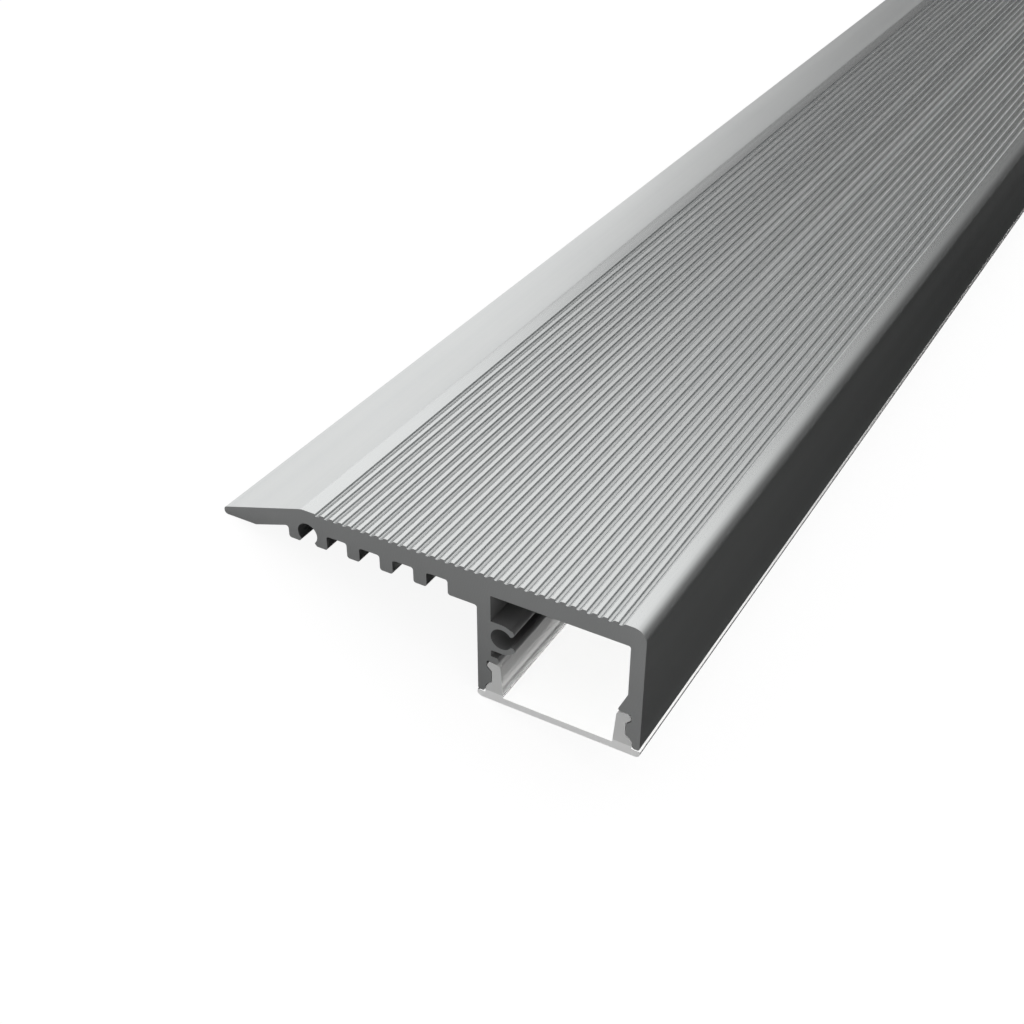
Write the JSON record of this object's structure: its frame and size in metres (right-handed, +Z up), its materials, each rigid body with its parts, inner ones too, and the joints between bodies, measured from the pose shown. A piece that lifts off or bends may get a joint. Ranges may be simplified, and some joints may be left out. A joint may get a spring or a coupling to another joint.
{
  "type": "stair nosing",
  "caption": "Ribbed aluminium stair nosing with a light channel under its front edge, closed by a snap-in opal cover.",
  "frame": {"origin": "middle of the bounding box, at the floor that the tipped-back profile rests on", "axes": "+X along the stock, -Y towards the nose and the riser face, +Z up; the tread is tipped back about the X axis"},
  "size_m": [1, 0.0684, 0.028],
  "materials": {
    "anodised_aluminium": "satin anodised",
    "opal_plastic": "satin opal"
  },
  "bodies": {
    "root": {"nosing_profile": "anodised_aluminium", "opal_cover": "opal_plastic"}
  },
  "joints": []
}
